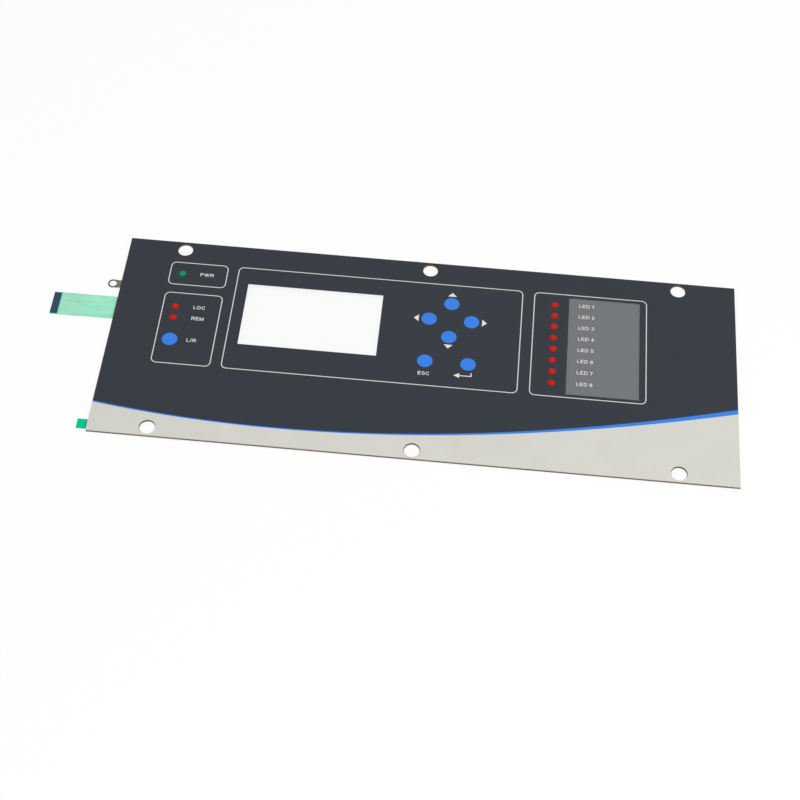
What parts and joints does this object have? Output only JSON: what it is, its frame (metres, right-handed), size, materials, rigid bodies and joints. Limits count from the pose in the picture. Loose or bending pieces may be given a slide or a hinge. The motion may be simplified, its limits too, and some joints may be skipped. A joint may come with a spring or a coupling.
{
  "type": "membrane keypad",
  "caption": "Flat membrane keypad panel with round snap-dome keys, indicator lamps, a display window, a label window, a flat printed tail and an earth lug.",
  "frame": {"origin": "middle of the panel on its rear face", "axes": "+X along the panel, away from the tail; +Y towards the top of the legends; +Z out of the front"},
  "size_m": [0.4017, 0.143, 0.0021],
  "materials": {
    "clear_film": "clear polyester, satin front",
    "dark_ink": "satin",
    "grey_ink": "satin",
    "blue_ink": "satin",
    "white_ink": "satin",
    "red_lens": "translucent, satin",
    "green_lens": "translucent, satin",
    "label_card": "matt card",
    "adhesive": "amber, translucent",
    "foil": "foil",
    "lug_metal": "tinned, dull",
    "spacer_film": "brown polyester",
    "dome_steel": "stainless",
    "lamp_body": "moulded",
    "silver_ink": "printed silver",
    "circuit_film": "polyester with a mint coat",
    "mint_coat": "printed insulation",
    "carbon_ink": "printed carbon",
    "stiffener_film": "polyester",
    "liner_film": "translucent film"
  },
  "bodies": {
    "root": {"overlay_film": "clear_film", "dark_field_print": "dark_ink", "grey_band_print": "grey_ink", "blue_stripe_print": "blue_ink", "frame_lines_print": "white_ink", "key_discs_print": "blue_ink", "red_indicator_print": "red_lens", "green_indicator_print": "green_lens", "label_insert": "label_card", "overlay_adhesive": "adhesive", "shield_foil": "foil", "ground_lug": "lug_metal", "dome_spacer": "spacer_film", "dome_up": "dome_steel", "dome_down": "dome_steel", "dome_left": "dome_steel", "dome_right": "dome_steel", "dome_escape": "dome_steel", "dome_enter": "dome_steel", "dome_local_remote": "dome_steel", "led_power": "lamp_body", "led_local": "lamp_body", "led_remote": "lamp_body", "led_1": "lamp_body", "led_2": "lamp_body", "led_3": "lamp_body", "led_4": "lamp_body", "led_5": "lamp_body", "led_6": "lamp_body", "led_7": "lamp_body", "led_8": "lamp_body", "circuit_tracks": "silver_ink", "circuit_film": "circuit_film", "tail_dielectric": "mint_coat", "tail_contacts": "carbon_ink", "tail_stiffener": "stiffener_film", "rear_adhesive": "adhesive", "release_liner": "liner_film"}
  },
  "joints": []
}
